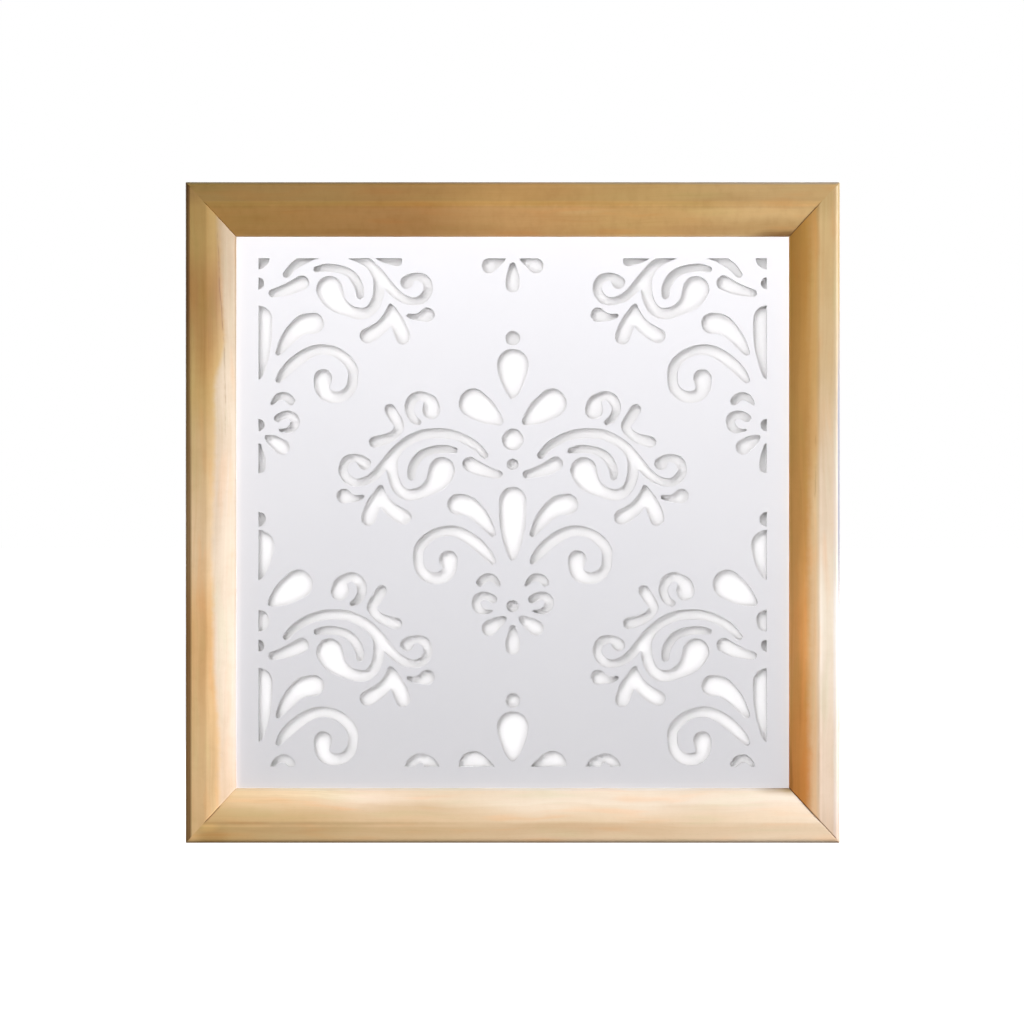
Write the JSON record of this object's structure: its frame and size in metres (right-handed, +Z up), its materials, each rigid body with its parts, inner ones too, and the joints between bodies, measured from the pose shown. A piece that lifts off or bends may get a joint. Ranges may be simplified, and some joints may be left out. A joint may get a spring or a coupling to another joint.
{
  "type": "framed fretwork panel",
  "caption": "Square wall panel: a mitred timber frame around a white board cut through with a scrolling damask ornament, backed, with turn buttons and ring hangers on the back.",
  "frame": {"origin": "middle of the bottom edge, half way through the depth of the timber", "axes": "+X to the right seen from the front, +Y from the front towards the wall, +Z up"},
  "size_m": [0.4, 0.022, 0.404],
  "materials": {
    "timber": "light pine with a thin satin clear lacquer",
    "white_lacquer": "wood-fibre board sprayed satin white",
    "white_board": "wood-fibre board with a matt white face",
    "nail_steel": "bare spring steel",
    "zinc_plate": "zinc-plated pressed steel",
    "screw_steel": "zinc-plated steel",
    "hanger_brass": "brass-plated, lightly tarnished",
    "bumper_rubber": "matt black rubber"
  },
  "bodies": {
    "frame": {"top_rail": "timber", "bottom_rail": "timber", "left_stile": "timber", "right_stile": "timber", "v_nails": "nail_steel", "fretwork_panel": "white_lacquer", "backing_board": "white_board", "turn_button_screws": "screw_steel", "hanger_strap_left": "hanger_brass", "hanger_strap_right": "hanger_brass", "hanger_screws": "screw_steel", "wall_bumpers": "bumper_rubber"},
    "button_top_left": {"turn_button_top_left": "zinc_plate"},
    "button_top_right": {"turn_button_top_right": "zinc_plate"},
    "button_bottom_left": {"turn_button_bottom_left": "zinc_plate"},
    "button_bottom_right": {"turn_button_bottom_right": "zinc_plate"},
    "button_left_upper": {"turn_button_left_upper": "zinc_plate"},
    "button_left_lower": {"turn_button_left_lower": "zinc_plate"},
    "button_right_upper": {"turn_button_right_upper": "zinc_plate"},
    "button_right_lower": {"turn_button_right_lower": "zinc_plate"},
    "ring_left": {"hanger_ring_left": "hanger_brass"},
    "ring_right": {"hanger_ring_right": "hanger_brass"}
  },
  "joints": [
    {"name": "button_top_left_turn", "type": "hinge", "parent": "frame", "child": "button_top_left", "pos_m": [-0.1, 0.0096, 0.3831], "axis": [0, 1, 0], "continuous": true},
    {"name": "button_top_right_turn", "type": "hinge", "parent": "frame", "child": "button_top_right", "pos_m": [0.1, 0.0096, 0.3831], "axis": [0, 1, 0], "continuous": true},
    {"name": "button_bottom_left_turn", "type": "hinge", "parent": "frame", "child": "button_bottom_left", "pos_m": [-0.1, 0.0096, 0.0209], "axis": [0, 1, 0], "continuous": true},
    {"name": "button_bottom_right_turn", "type": "hinge", "parent": "frame", "child": "button_bottom_right", "pos_m": [0.1, 0.0096, 0.0209], "axis": [0, 1, 0], "continuous": true},
    {"name": "button_left_upper_turn", "type": "hinge", "parent": "frame", "child": "button_left_upper", "pos_m": [-0.1815, 0.0096, 0.314], "axis": [0, 1, 0], "continuous": true},
    {"name": "button_left_lower_turn", "type": "hinge", "parent": "frame", "child": "button_left_lower", "pos_m": [-0.1815, 0.0096, 0.09], "axis": [0, 1, 0], "continuous": true},
    {"name": "button_right_upper_turn", "type": "hinge", "parent": "frame", "child": "button_right_upper", "pos_m": [0.1815, 0.0096, 0.314], "axis": [0, 1, 0], "continuous": true},
    {"name": "button_right_lower_turn", "type": "hinge", "parent": "frame", "child": "button_right_lower", "pos_m": [0.1815, 0.0096, 0.09], "axis": [0, 1, 0], "continuous": true},
    {"name": "ring_left_swing", "type": "hinge", "parent": "frame", "child": "ring_left", "pos_m": [-0.188, 0.01086, 0.27], "axis": [1, 0, 0], "range_deg": [0, 180]},
    {"name": "ring_right_swing", "type": "hinge", "parent": "frame", "child": "ring_right", "pos_m": [0.188, 0.01086, 0.27], "axis": [1, 0, 0], "range_deg": [0, 180]}
  ]
}
